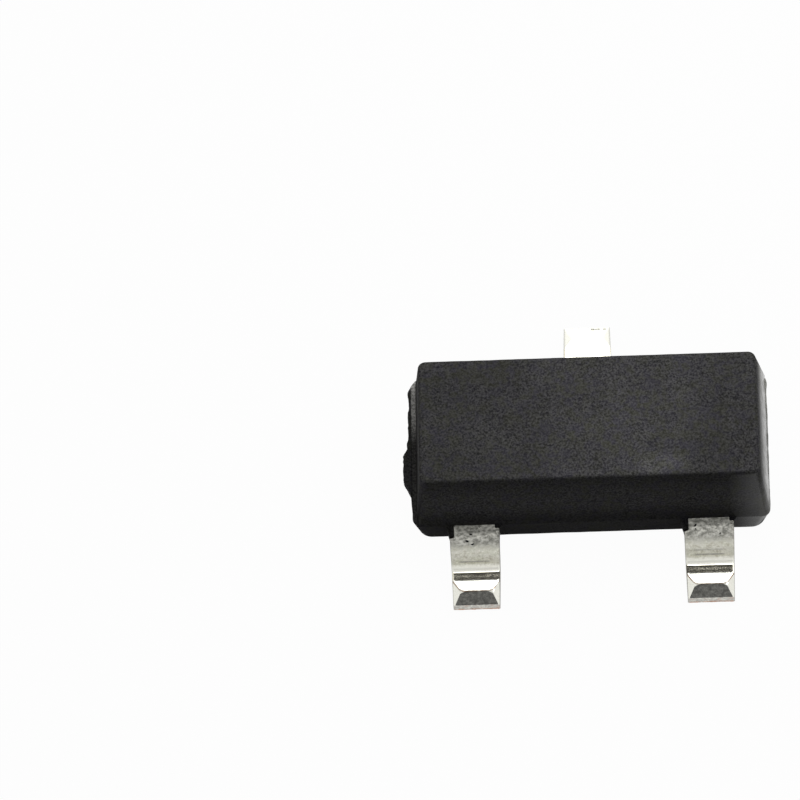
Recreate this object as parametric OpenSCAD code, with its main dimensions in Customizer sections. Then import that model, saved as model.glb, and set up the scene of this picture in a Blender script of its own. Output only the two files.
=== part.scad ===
// SOT-23 transistor: a black moulded body with two gull-wing leads in front and one behind,
// and inside it a chip on its paddle with two bond wires. Millimetres.
// The soles of the feet lie at z = 0, +X runs along the body, and the single lead points to +Y.

/* [Moulded body] */
// Length of the body at the parting line
body_len = 2.9; // [2.7:0.02:3.1]
// Width of the body at the parting line, without the leads
body_w = 1.265; // [1.15:0.005:1.4]
// Height of the body from its underside to its top face
body_h = 0.92; // [0.82:0.01:1.05]
// Gap between the underside and the surface that the feet stand on
stand_off = 0.05; // [0.02:0.01:0.12]
// Height of the parting line above the underside, level with the top face of the leads
parting_h = 0.28; // [0.25:0.01:0.36]
// Draft of the walls from upright, on both sides of the parting line
draft = 7.5; // [4:0.5:9]
// Radius of the upright corners, the same from the underside to the top face
corner_r = 0.075; // [0.06:0.005:0.2]
// Radius of the edge round the top face
top_edge_r = 0.035; // [0.01:0.005:0.05]
// Radius of the edge round the underside
bottom_edge_r = 0.02; // [0.01:0.005:0.04]

/* [Leads] */
// Thickness of the lead strip
lead_t = 0.12; // [0.09:0.005:0.15]
// Width of a lead where it leaves the body
lead_root_w = 0.34; // [0.3:0.01:0.38]
// Width of a lead across the stubs that the cut dam bar left on it
dam_w = 0.405; // [0.39:0.005:0.46]
// Distance of those stubs from the parting line
dam_gap = 0.09; // [0.06:0.01:0.12]
// Width of a lead at its tip
lead_tip_w = 0.38; // [0.34:0.005:0.385]
// Distance between the middles of the two front leads
lead_pitch = 1.9; // [1.8:0.01:2]
// Distance from the front tips to the rear tip
lead_span = 2.494; // [2.36:0.002:2.6]
// Shift of the tips towards the single lead, which is cut a little longer
span_shift = 0.015; // [0:0.001:0.03]
// Straight run of a lead from the parting line to its first bend
shoulder_len = 0.06; // [0.03:0.01:0.1]
// Radius on the inside of each bend
bend_r = 0.07; // [0.03:0.005:0.08]
// Slope of the ramp between the two bends
ramp_angle = 65; // [55:1:80]

/* [Lead tips] */
// Length of the bevel that is pressed on the tip, along the foot
bevel_len = 0.1; // [0.04:0.005:0.12]
// Height that the bevel takes off the end face
bevel_drop = 0.06; // [0.03:0.005:0.08]
// Width of the front bevel at its upper edge, between the two corner bevels
bevel_top_w = 0.22; // [0.15:0.01:0.26]
// Width of the front bevel at its lower edge
bevel_low_w = 0.365; // [0.3:0.005:0.37]
// Turn of the corner bevels away from the front bevel
bevel_turn = 38; // [25:1:45]

/* [Lead frame inside the body] */
// Moulded cover between the body wall and the wide part of each lead
frame_cover = 0.13; // [0.1:0.01:0.18]
// Length of the bond posts on the two front leads
post_len = 0.36; // [0.25:0.01:0.45]
// Step by which a bond post is wider than its lead, on each side
post_lip = 0.13; // [0.08:0.01:0.15]
// Gap that is punched between the paddle and each bond post
frame_gap = 0.15; // [0.1:0.01:0.2]
// Length of the paddle that carries the chip
paddle_len = 0.62; // [0.55:0.01:0.75]
// Chamfer on the corners of the posts and the paddle
frame_chamfer = 0.05; // [0.02:0.01:0.08]

/* [Chip and wires] */
// Side of the square chip
die_w = 0.4; // [0.3:0.01:0.5]
// Thickness of the chip
die_t = 0.15; // [0.1:0.01:0.2]
// Thickness of the layer that fixes the chip
attach_t = 0.012; // [0.008:0.002:0.03]
// Margin of that layer round the chip
attach_lip = 0.015; // [0.005:0.005:0.03]
// Distance of the bond balls from the front and side edges of the chip
pad_inset = 0.1; // [0.06:0.01:0.14]
// Diameter of the bond wire
wire_d = 0.025; // [0.018:0.001:0.032]
// Diameter of the ball on the chip
ball_d = 0.065; // [0.05:0.005:0.09]
// Height of the ball on the chip
ball_t = 0.02; // [0.014:0.002:0.03]
// Diameter of the pressed stitch on the post
stitch_d = 0.06; // [0.04:0.005:0.08]
// Thickness of the pressed stitch on the post
stitch_t = 0.01; // [0.006:0.001:0.014]
// Rise of the wire loop above the chip
loop_rise = 0.16; // [0.1:0.01:0.2]

/* [Moulding marks] */
// Width of the broken gate on the left end
gate_w = 0.5; // [0.4:0.01:0.6]
// Width of the face that the gate broke off at
gate_face_w = 0.22; // [0.15:0.01:0.3]
// Distance that the broken gate stands out from the end
gate_out = 0.07; // [0.02:0.005:0.09]
// Thickness of the broken gate under the parting line
gate_t = 0.1; // [0.05:0.01:0.15]
// Shift of the gate from the middle of the end, towards the front
gate_shift = 0.1; // [0:0.01:0.2]
// Width of the flash on the wall, beyond the dam bar stub on each side of a lead
flash_w = 0.025; // [0.01:0.005:0.05]

/* [Hidden] */
$fn = 64;

BODY_COLOUR = "#38383a";
LEAD_COLOUR = "#d2cec6";
ATTACH_COLOUR = "#c8a85a";
DIE_COLOUR = "#6c727c";
WIRE_COLOUR = "#d9b24c";

// The base lead is on the left in front, the emitter lead on the right
BASE_SIDE = -1;
EMITTER_SIDE = 1;
FRONT = 180;
REAR = 0;

// Levels of the body
z_under = stand_off;
z_part = stand_off + parting_h;
z_top = stand_off + body_h;

// Facets of a quarter turn at the corners, and of the edge radii
corner_steps = 8;
edge_steps = 5;

// Side view of a lead, measured outwards from the middle of the body
lead_wall_y = body_w / 2;
bend_mid_r = bend_r + lead_t / 2;
ramp_drop = z_part - lead_t;
ramp_run = (ramp_drop - 2 * bend_mid_r * (1 - cos(ramp_angle))) / sin(ramp_angle);
shoulder_y = lead_wall_y + shoulder_len;
heel_y = shoulder_y + 2 * bend_mid_r * sin(ramp_angle) + ramp_run * cos(ramp_angle);
front_tip_y = lead_span / 2 - span_shift;
rear_tip_y = lead_span / 2 + span_shift;
dam_y = lead_wall_y + dam_gap;

// Fall of the corner bevels, so that they meet the front bevel at its lower edge
corner_bevel_len = (bevel_low_w - bevel_top_w) / 2 * sin(bevel_turn) + bevel_len * cos(bevel_turn);

// Plan of the lead frame inside the body
frame_out_y = lead_wall_y - frame_cover;
post_in_y = frame_out_y - post_len;
post_half_w = lead_root_w / 2 + post_lip;
paddle_in_y = frame_out_y - paddle_len;
paddle_half_w = lead_pitch / 2 - post_half_w - frame_gap;

// Chip on the paddle, and the two ends of each wire
die_y = (frame_out_y + paddle_in_y) / 2;
die_z = z_part + attach_t;
die_top = die_z + die_t;
pad_x = die_w / 2 - pad_inset;
pad_y = die_y - die_w / 2 + pad_inset;
stitch_x = lead_pitch / 2;
stitch_y = -(frame_out_y + post_in_y) / 2;
wire_sides = 8;
wire_steps = 14;

// Half of an outline, closed by its mirror image across x = 0
function both_sides(half) =
    concat(half, [for (i = [len(half) - 1 : -1 : 0]) [-half[i].x, half[i].y]]);

// Section of the wall as steps inwards from the parting line and heights, with the edge radii as arcs
function wall_inset(z) = abs(z - z_part) * tan(draft);
function edge_arc(r, z, first, last) =
    let (mid_inset = wall_inset(z) + r / cos(draft))
    [for (i = [0 : edge_steps])
        let (a = first + (last - first) * i / edge_steps)
        [mid_inset - r * cos(a), z + r * sin(a)]];
wall_section = concat(
    edge_arc(bottom_edge_r, z_under + bottom_edge_r, -90, -draft),
    [[0, z_part]],
    edge_arc(top_edge_r, z_top - top_edge_r, draft, 90)
);

// Outline of the body at one height, with its four round corners
function body_ring(inset, z) =
    let (x = body_len / 2 - inset - corner_r, y = body_w / 2 - inset - corner_r)
    [for (corner = [[x, y, 0], [-x, y, 90], [-x, -y, 180], [x, -y, 270]], k = [0 : corner_steps])
        let (a = corner[2] + 90 * k / corner_steps)
        [corner.x + corner_r * cos(a), corner.y + corner_r * sin(a), z]];

// Lays an outline on the YZ plane and draws it out along X
module along_x(width) {
    rotate([90, 0, 90])
        linear_extrude(width, center = true)
            children();
}

// Closed skin over rings of points that turn anticlockwise about the way from the first to the last
module loft(rings) {
    sides = len(rings[0]);
    walls = [
        for (i = [0 : len(rings) - 2], k = [0 : sides - 1])
            let (next = (k + 1) % sides, here = i * sides, beyond = here + sides)
            [here + k, beyond + k, beyond + next, here + next]
    ];
    ends = [
        [for (k = [0 : sides - 1]) k],
        [for (k = [sides - 1 : -1 : 0]) (len(rings) - 1) * sides + k]
    ];
    polyhedron([for (ring = rings) each ring], concat(walls, ends));
}

// Body with its walls drafted both ways from the parting line
module body_form() {
    loft([for (level = wall_section) body_ring(level[0], level[1])]);
}

// Stub that stays on the left end where the runner was broken off
module broken_gate() {
    root_x = gate_t - body_len / 2;
    face_x = -body_len / 2 - gate_out;
    translate([0, -gate_shift, z_part - gate_t])
        linear_extrude(gate_t)
            polygon([
                [root_x, gate_w / 2],
                [-body_len / 2, gate_w / 2],
                [face_x, gate_face_w / 2],
                [face_x, -gate_face_w / 2],
                [-body_len / 2, -gate_w / 2],
                [root_x, -gate_w / 2]
            ]);
}

// Thin moulding that filled the space between the wall and the dam bar, on both sides of a lead
module side_flash() {
    translate([0, 0, z_part - lead_t])
        linear_extrude(lead_t)
            for (side = [-1, 1])
                polygon([
                    [side * lead_root_w / 2, frame_out_y],
                    [side * (dam_w / 2 + flash_w), frame_out_y],
                    [side * (dam_w / 2 + flash_w), lead_wall_y],
                    [side * dam_w / 2, dam_y],
                    [side * lead_root_w / 2, dam_y]
                ]);
}

// Ring sector that fills a bend, from angle first over a turn of ramp_angle
module bend_sector(first) {
    reach = 2 * (bend_r + lead_t);
    last = first + ramp_angle;
    intersection() {
        difference() {
            circle(bend_r + lead_t);
            circle(bend_r);
        }
        polygon([
            [0, 0],
            [reach * cos(first), reach * sin(first)],
            [reach * cos(last), reach * sin(last)]
        ]);
    }
}

// Side view of the formed strip: flat, bend, ramp, bend and foot
module strip_side(tip_y) {
    flat_in_y = min(paddle_in_y, post_in_y) - lead_t;
    translate([flat_in_y, z_part - lead_t])
        square([shoulder_y - flat_in_y, lead_t]);
    translate([shoulder_y, z_part - lead_t - bend_r])
        bend_sector(90 - ramp_angle);
    translate([heel_y, lead_t + bend_r])
        bend_sector(270 - ramp_angle);
    translate([heel_y, lead_t + bend_r])
        rotate(-ramp_angle)
            translate([-ramp_run, -bend_r - lead_t])
                square([ramp_run, lead_t]);
    translate([heel_y, 0])
        square([tip_y - heel_y, lead_t]);
}

// Plan of one lead: wide part inside the body, then the lead itself
function lead_plan(wide_half, in_y, tip_y) = both_sides([
    [wide_half - frame_chamfer, in_y],
    [wide_half, in_y + frame_chamfer],
    [wide_half, frame_out_y - frame_chamfer],
    [wide_half - frame_chamfer, frame_out_y],
    [lead_root_w / 2, frame_out_y],
    [lead_root_w / 2, dam_y],
    [dam_w / 2, dam_y],
    [lead_tip_w / 2, tip_y],
    [lead_tip_w / 2, tip_y + lead_t]
]);

// Block above a bevel that falls by bevel_drop over run, with its upper edge through the origin
module bevel_block(run) {
    along_x(2 * dam_w)
        polygon([
            [0, 0],
            [2 * run, -2 * bevel_drop],
            [2 * run, bevel_drop],
            [0, bevel_drop]
        ]);
}

module tip_bevels(tip_y) {
    translate([0, tip_y - bevel_len, lead_t]) {
        bevel_block(bevel_len);
        for (side = [-1, 1])
            translate([side * bevel_top_w / 2, 0, 0])
                rotate(-side * bevel_turn)
                    bevel_block(corner_bevel_len);
    }
}

// One lead that points to +Y, with the wide part that the body holds
module lead(wide_half, in_y, tip_y) {
    difference() {
        intersection() {
            along_x(2 * wide_half + lead_t)
                strip_side(tip_y);
            translate([0, 0, -lead_t])
                linear_extrude(z_part + 2 * lead_t)
                    polygon(lead_plan(wide_half, in_y, tip_y));
        }
        tip_bevels(tip_y);
    }
}

module at_lead(x, turn) {
    translate([x, 0, 0])
        rotate(turn)
            children();
}

module base_lead() {
    color(LEAD_COLOUR)
        at_lead(BASE_SIDE * lead_pitch / 2, FRONT)
            lead(post_half_w, post_in_y, front_tip_y);
}

module emitter_lead() {
    color(LEAD_COLOUR)
        at_lead(EMITTER_SIDE * lead_pitch / 2, FRONT)
            lead(post_half_w, post_in_y, front_tip_y);
}

module collector_lead() {
    color(LEAD_COLOUR)
        at_lead(0, REAR)
            lead(paddle_half_w, paddle_in_y, rear_tip_y);
}

// Square plate on the middle of the chip's place
module chip_plate(side, level, thickness) {
    translate([-side / 2, die_y - side / 2, level])
        cube([side, side, thickness]);
}

module die_attach() {
    color(ATTACH_COLOUR)
        chip_plate(die_w + 2 * attach_lip, z_part, attach_t);
}

module die() {
    color(DIE_COLOUR)
        chip_plate(die_w, die_z, die_t);
}

// Point and direction at t on a cubic curve through four control points
function curve_point(c, t) =
    pow(1 - t, 3) * c[0] + 3 * pow(1 - t, 2) * t * c[1] + 3 * (1 - t) * pow(t, 2) * c[2] + pow(t, 3) * c[3];
function curve_direction(c, t) =
    let (d = pow(1 - t, 2) * (c[1] - c[0]) + 2 * (1 - t) * t * (c[2] - c[1]) + pow(t, 2) * (c[3] - c[2]))
    d / norm(d);

// Round wire swept along a curve that stays in one upright plane
module swept_wire(curve) {
    reach = curve[3] - curve[0];
    level = [-reach.y, reach.x, 0] / norm([reach.x, reach.y]);
    loft([
        for (i = [0 : wire_steps])
            let (t = i / wire_steps, up = cross(curve_direction(curve, t), level))
            [for (k = [0 : wire_sides - 1])
                let (a = 360 * (k + 0.5) / wire_sides)
                curve_point(curve, t) + wire_d / 2 * (cos(a) * level + sin(a) * up)]
    ]);
}

// Bond wire from its ball on the chip to its stitch on a post
module bond_wire(side) {
    ball = [side * pad_x, pad_y, die_top];
    stitch = [side * stitch_x, stitch_y, z_part];
    control_rise = [0, 0, ball_t + loop_rise * 4 / 3];
    drift = [stitch.x - ball.x, stitch.y - ball.y, 0];
    color(WIRE_COLOUR)
        intersection() {
            union() {
                translate(ball)
                    cylinder(h = ball_t, d = ball_d);
                swept_wire([
                    ball + [0, 0, ball_t / 2],
                    ball + control_rise,
                    ball + control_rise + drift / 3,
                    stitch
                ]);
                translate(stitch)
                    cylinder(h = stitch_t, d = stitch_d);
            }
            translate([-body_len / 2, -body_w / 2, z_part])
                cube([body_len, body_w, body_h]);
        }
}

module base_wire() {
    bond_wire(BASE_SIDE);
}

module emitter_wire() {
    bond_wire(EMITTER_SIDE);
}

// The body is moulded round the lead frame, the chip and the wires
module mould_body() {
    color(BODY_COLOUR)
        difference() {
            union() {
                body_form();
                broken_gate();
                for (x = [-lead_pitch / 2, lead_pitch / 2])
                    at_lead(x, FRONT)
                        side_flash();
                at_lead(0, REAR)
                    side_flash();
            }
            base_lead();
            emitter_lead();
            collector_lead();
            die_attach();
            die();
            base_wire();
            emitter_wire();
        }
}

mould_body();
base_lead();
emitter_lead();
collector_lead();
die_attach();
die();
base_wire();
emitter_wire();
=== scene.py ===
import math
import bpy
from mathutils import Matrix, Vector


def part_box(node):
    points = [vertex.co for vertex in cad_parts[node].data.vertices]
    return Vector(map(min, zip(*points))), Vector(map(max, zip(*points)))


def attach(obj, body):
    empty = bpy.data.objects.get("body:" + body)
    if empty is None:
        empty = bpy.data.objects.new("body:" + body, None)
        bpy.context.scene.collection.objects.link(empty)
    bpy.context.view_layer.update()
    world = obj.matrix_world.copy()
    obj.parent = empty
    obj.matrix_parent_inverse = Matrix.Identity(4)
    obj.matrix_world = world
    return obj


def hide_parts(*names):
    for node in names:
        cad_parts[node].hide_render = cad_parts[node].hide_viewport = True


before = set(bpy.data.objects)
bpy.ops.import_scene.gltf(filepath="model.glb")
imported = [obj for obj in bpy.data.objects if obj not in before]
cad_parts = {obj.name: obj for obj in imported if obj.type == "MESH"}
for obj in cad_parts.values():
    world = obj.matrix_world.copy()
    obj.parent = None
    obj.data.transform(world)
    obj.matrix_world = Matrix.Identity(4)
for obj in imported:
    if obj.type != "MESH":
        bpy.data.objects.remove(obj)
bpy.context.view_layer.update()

from types import SimpleNamespace

import bmesh
import bpy
from mathutils import Matrix, Vector, noise

# The looks of a SOT-23 transistor: a black moulded body, tinned gull-wing leads, and the chip and wires
# inside. Everything is in metres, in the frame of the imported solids. MM turns millimetres into metres.
MM = 0.001

# Fixed seed, without which the torn edges would differ on each run
TEAR_SEED = 4
noise.seed_set(TEAR_SEED)

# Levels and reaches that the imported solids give
BODY_LOW, BODY_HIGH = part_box("mould_body")
BASE_LOW, BASE_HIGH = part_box("base_lead")
EMITTER_LOW, EMITTER_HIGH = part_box("emitter_lead")
COLLECTOR_LOW, COLLECTOR_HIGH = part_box("collector_lead")
Z_UNDER = BODY_LOW.z
Z_TOP = BODY_HIGH.z
Z_PART = BASE_HIGH.z
HALF_LEN = BODY_HIGH.x
GATE_OUT = -BODY_LOW.x - HALF_LEN
FRONT_TIP_Y = -BASE_LOW.y
REAR_TIP_Y = COLLECTOR_HIGH.y

# Moulded body
DAM_GAP = 0.09 * MM
HALF_W = BODY_HIGH.y - DAM_GAP
DRAFT = math.radians(7.5)
CORNER_R = 0.075 * MM
UNDER_CORNER_R = 0.115 * MM
REAR_PART_CORNER_R = 0.03 * MM
REAR_TOP_CORNER_R = 0.06 * MM
REAR_FLARE = 0.035 * MM
PARTING_STEP = 0.034 * MM
TOP_STEP = 0.002 * MM
PARTING_RISE = 0.004 * MM
TOP_EDGE_R = 0.035 * MM
UNDER_EDGE_R = 0.02 * MM
GATE_W = 0.5 * MM
GATE_FACE_W = 0.22 * MM
GATE_T = 0.1 * MM
GATE_Y = -0.1 * MM
GATE_ROOT = 0.1 * MM
FLASH_W = 0.025 * MM

# Leads
LEAD_T = 0.12 * MM
LEAD_EDGE_R = 0.012 * MM
ROOT_HALF_W = 0.17 * MM
DAM_HALF_W = 0.2025 * MM
TIP_HALF_W = 0.19 * MM
DAM_Y = HALF_W + DAM_GAP
NEAR_DAM_Y = HALF_W + 0.03 * MM
SHOULDER_Y = HALF_W + 0.06 * MM
BEND_R = 0.07 * MM
RAMP_ANGLE = math.radians(65)
TOE_RISE = 0.0075 * MM
BEVEL_LEN = 0.112 * MM
BEVEL_DROP = 0.048 * MM
BEVEL_TOP_HALF_W = 0.127 * MM
BEVEL_LOW_HALF_W = 0.1825 * MM
BEVEL_TURN = math.radians(56)
BEVEL_ROUNDING = 0.024 * MM
BEVEL_BLEND = 0.002 * MM
BEVEL_FADE = 0.4

# Lead frame inside the body
FRAME_OUT_Y = HALF_W - 0.13 * MM
FRAME_CHAMFER = 0.05 * MM

# Place, turn and reach of each lead
LEAD_PLACES = {
    "base_lead": ((BASE_LOW.x + BASE_HIGH.x) / 2, math.pi, FRONT_TIP_Y),
    "emitter_lead": ((EMITTER_LOW.x + EMITTER_HIGH.x) / 2, math.pi, FRONT_TIP_Y),
    "collector_lead": ((COLLECTOR_LOW.x + COLLECTOR_HIGH.x) / 2, 0.0, REAR_TIP_Y),
}

# Edges that turn further than this stay sharp
BODY_SHARP = math.radians(38)
SHEET_SHARP = math.radians(50)
CRUMB_SHARP = math.radians(60)

# Points nearer than this are one point
JOIN_DISTANCE = 0.0001 * MM


# Nodes

def connect(tree, made, key, value):
    """Puts a plain value or another node's socket on an input."""
    if isinstance(value, bpy.types.NodeSocket):
        tree.links.new(value, made.inputs[key])
    else:
        made.inputs[key].default_value = value


def node(tree, kind, sockets=None, **settings):
    """Adds a node with its settings and inputs."""
    made = tree.nodes.new(kind)
    for name, value in settings.items():
        setattr(made, name, value)
    for key, value in (sockets or {}).items():
        connect(tree, made, key, value)
    return made


def maths(tree, operation, *values):
    """A Math node's result."""
    return node(tree, "ShaderNodeMath", dict(enumerate(values)), operation=operation).outputs[0]


def product(tree, *values):
    """All the values multiplied."""
    result = values[0]
    for value in values[1:]:
        result = maths(tree, "MULTIPLY", result, value)
    return result


def sum_of(tree, base, *terms):
    """A base and terms, each of which is a value and its share."""
    result = base
    for value, share in terms:
        result = maths(tree, "MULTIPLY_ADD", value, share, result)
    return result


def distance(tree, value, place):
    """How far a value is from a place."""
    return maths(tree, "ABSOLUTE", maths(tree, "SUBTRACT", value, place))


def between(tree, value, low, high, to_low=0.0, to_high=1.0, smooth=True):
    """Maps a value from one range to another, held at both ends."""
    sockets = {"Value": value, "From Min": low, "From Max": high, "To Min": to_low, "To Max": to_high}
    kind = "SMOOTHSTEP" if smooth else "LINEAR"
    return node(tree, "ShaderNodeMapRange", sockets, interpolation_type=kind).outputs["Result"]


def blended(tree, factor, first, second):
    """Blend of two values."""
    return node(tree, "ShaderNodeMix", {0: factor, 2: first, 3: second}, data_type="FLOAT").outputs[0]


def mixed(tree, factor, first, second):
    """Blend of two colours."""
    return node(tree, "ShaderNodeMix", {0: factor, 6: first, 7: second}, data_type="RGBA").outputs[2]


def scaled(tree, vector, factor):
    """A colour or a vector times a factor."""
    return node(tree, "ShaderNodeVectorMath", {0: vector, "Scale": factor}, operation="SCALE").outputs[0]


def axes_of(tree, vector):
    """The three parts of a vector."""
    return tuple(node(tree, "ShaderNodeSeparateXYZ", {"Vector": vector}).outputs)


def vector_of(tree, **parts):
    """A vector made from its parts."""
    return node(tree, "ShaderNodeCombineXYZ", parts).outputs[0]


# Meshes and pieces

def new_object(name, mesh):
    """An object in the scene, with its place in its mesh."""
    made = bpy.data.objects.new(name, mesh)
    bpy.context.scene.collection.objects.link(made)
    return made


def plain_mesh(name, points, faces):
    """A mesh from its points and faces."""
    mesh = bpy.data.meshes.new(name)
    mesh.from_pydata(points, [], faces)
    mesh.validate()
    return mesh


def line_mesh(name, points, **point_values):
    """Open line through points, which carry named values."""
    mesh = bpy.data.meshes.new(name)
    mesh.from_pydata(points, [(i, i + 1) for i in range(len(points) - 1)], [])
    for value_name, values in point_values.items():
        if isinstance(values[0], Vector):
            flat = [c for value in values for c in value]
            mesh.attributes.new(value_name, "FLOAT_VECTOR", "POINT").data.foreach_set("vector", flat)
        else:
            mesh.attributes.new(value_name, "FLOAT", "POINT").data.foreach_set("value", values)
    return mesh


def face_outwards(mesh):
    """Closes the seams of a mesh and turns its faces outwards."""
    shell = bmesh.new()
    shell.from_mesh(mesh)
    bmesh.ops.remove_doubles(shell, verts=shell.verts, dist=JOIN_DISTANCE)
    bmesh.ops.recalc_face_normals(shell, faces=shell.faces)
    shell.to_mesh(mesh)
    shell.free()


def joined_mesh(name, meshes, material):
    """Several meshes as one, in one material."""
    whole = bmesh.new()
    for mesh in meshes:
        whole.from_mesh(mesh)
    mesh = bpy.data.meshes.new(name)
    whole.to_mesh(mesh)
    whole.free()
    mesh.materials.append(material)
    return mesh


def finish_piece(name, mesh, sharp_angle, slot_name, *replaced):
    """Makes a piece of a mesh, smooth up to a sharp angle, in place of the nodes it replaces."""
    mesh.polygons.foreach_set("use_smooth", [True] * len(mesh.polygons))
    mesh.set_sharp_from_angle(angle=sharp_angle)
    piece = new_object(name, mesh)
    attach(piece, "root")
    if replaced:
        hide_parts(*replaced)


def lead_frame(lead_x, turn):
    """Place of a lead, which is drawn pointing along +Y from the middle of the body."""
    return Matrix.Translation((lead_x, 0, 0)) @ Matrix.Rotation(turn, 4, "Z")


def new_shape_tree(name, size_names):
    """A geometry tree with one shape input, named size inputs and one shape output."""
    tree = bpy.data.node_groups.new(name, "GeometryNodeTree")
    tree.interface.new_socket("Shape", in_out="INPUT", socket_type="NodeSocketGeometry")
    for size_name in size_names:
        tree.interface.new_socket(size_name, in_out="INPUT", socket_type="NodeSocketFloat")
    tree.interface.new_socket("Shape", in_out="OUTPUT", socket_type="NodeSocketGeometry")
    return tree, node(tree, "NodeGroupInput").outputs


def end_shape_tree(tree, shape, material):
    """Ends a geometry tree with a real shape in one material."""
    whole = node(tree, "GeometryNodeRealizeInstances", {"Geometry": shape})
    finished = node(tree, "GeometryNodeSetMaterial", {"Geometry": whole.outputs[0], "Material": material})
    node(tree, "NodeGroupOutput", {0: finished.outputs[0]})


def grown(name, seed_mesh, tree, sizes):
    """Runs a geometry tree on a seed mesh and keeps the result as a plain mesh."""
    seed = new_object(name + "_seed", seed_mesh)
    modifier = seed.modifiers.new("shape", "NODES")
    modifier.node_group = tree
    for socket in tree.interface.items_tree:
        if socket.in_out == "INPUT" and socket.name in sizes:
            modifier[socket.identifier] = sizes[socket.name]
    evaluated = seed.evaluated_get(bpy.context.evaluated_depsgraph_get())
    mesh = bpy.data.meshes.new_from_object(evaluated)
    bpy.data.objects.remove(seed)
    mesh.name = name
    return mesh


def named_value(tree, name, kind="FLOAT"):
    """A value that the points of the shape carry."""
    return node(tree, "GeometryNodeInputNamedAttribute", {"Name": name}, data_type=kind).outputs[0]


def stored(tree, shape, name, value):
    """A shape whose points carry a value, for its material to read."""
    sockets = {"Geometry": shape, "Name": name, "Value": value}
    made = node(tree, "GeometryNodeStoreNamedAttribute", sockets, data_type="FLOAT", domain="POINT")
    return made.outputs[0]


def point_axes(tree):
    """The three parts of a point's place."""
    return axes_of(tree, node(tree, "GeometryNodeInputPosition").outputs[0])


def tree_noise(tree, scale, seed, detail=3.0, roughness=0.6):
    """Seeded noise over the places of a shape's points."""
    sockets = {"W": seed, "Scale": scale, "Detail": detail, "Roughness": roughness}
    return node(tree, "ShaderNodeTexNoise", sockets, noise_dimensions="4D").outputs["Fac"]


# Materials. A band says where a change starts and ends, and the shares it goes from and to.
# Bands of place are in millimetres, and bands of noise lie between 0 and 1.

FRONT_HALF = (0.1, -0.1)
LEFT_HALF = (0.1, -0.1)


def stretched(tree, vector, scales, middle=(0, 0, 0)):
    """Coordinates from a middle, with a scale along each axis."""
    offset = [-place * scale for place, scale in zip(middle, scales)]
    sockets = {"Vector": vector, "Location": offset, "Scale": scales}
    return node(tree, "ShaderNodeMapping", sockets).outputs[0]


def new_material(name):
    """A material with an empty Principled shader and coordinates in millimetres."""
    material = bpy.data.materials.new(name)
    material.use_nodes = True
    tree = material.node_tree
    tree.nodes.clear()
    shader = node(tree, "ShaderNodeBsdfPrincipled")
    node(tree, "ShaderNodeOutputMaterial", {"Surface": shader.outputs[0]})
    coordinates = node(tree, "ShaderNodeTexCoord")
    in_mm = stretched(tree, coordinates.outputs["Object"], (1 / MM,) * 3)
    return material, tree, shader, in_mm


def grain(tree, vector, scale, detail=3.0, roughness=0.6):
    """Noise with scale features to the millimetre."""
    sockets = {"Vector": vector, "Scale": scale, "Detail": detail, "Roughness": roughness}
    return node(tree, "ShaderNodeTexNoise", sockets).outputs["Fac"]


def bumped(tree, shader, height, strength, depth):
    """Fine relief on a shader."""
    made = node(tree, "ShaderNodeBump", {"Height": height, "Strength": strength, "Distance": depth})
    connect(tree, shader, "Normal", made.outputs[0])


def carried(tree, name):
    """A value that the mesh carries, read by its material."""
    return node(tree, "ShaderNodeAttribute", attribute_name=name).outputs["Fac"]


# Mould compound: colours
GRAIN_DARK = (0.008, 0.008, 0.0085, 1)
GRAIN_LIGHT = (0.064, 0.063, 0.0635, 1)
OLIVE_TONE = (0.0385, 0.0393, 0.027, 1)
VIOLET_TONE = (0.0335, 0.0318, 0.043, 1)
# Painted highlight on the glaze of the right end
GLAZE_HIGHLIGHT = (0.11, 0.108, 0.075, 1)
# Painted highlight on the upward step at the left end
STEP_HIGHLIGHT = (0.34, 0.335, 0.32, 1)

# Mould compound: grain and tone
GRAIN_SCALE = 58
TINT_SCALE = 14
CLOUD_SCALE = 5.5
STAIN_SCALE = 2.4
GRAIN_BAND = (0.31, 0.69)
TINT_BAND = (0.38, 0.62)
TONE_BAND = (0.3, 0.7, 0.1, 0.5)

# Mould compound: lightness of the top, the long walls and the left end: painted sheen and shade, with
# stains on the top and a paler gate
TOP_LEFT_SHEEN_BAND = (-0.9, 0.3, 1.08, 1.42)
TOP_RIGHT_SHEEN_BAND = (0.65, 1.0, 1.0, 0.8)
STAIN_BAND = (0.3, 0.7, 0.9, 1.1)
# Painted sheen: a pale patch near the front edge of the top, towards the right
SHEEN_PATCH_MIDDLE = (0.6, -0.4353, 0)
SHEEN_PATCH_SCALES = (4.2, 8.5, 0)
SHEEN_PATCH_BAND = (1.7, 0.7, 1.0, 1.45)
# Painted shade on the long walls: darker low down, under the top edge and to the right
WALL_LOW_SHADE_BAND = (0.36, 0.6, 0.55, 1.1)
WALL_HIGH_SHADE_BAND = (0.7, 0.94, 1.0, 0.7)
WALL_RIGHT_SHADE_BAND = (0.2, 0.9, 1.0, 0.86)
# Painted shade on the left end, dark low down
LEFT_END_SHADE_BAND = (0.4, 0.92, 0.15, 1.1)
GATE_BAND = (-1.452, -1.46, 0.0, 0.6)
WALL_BAND = (HALF_W / MM - 0.022, HALF_W / MM - 0.004)
LEFT_BAND = (HALF_LEN / MM - 0.055, HALF_LEN / MM - 0.034)

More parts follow.
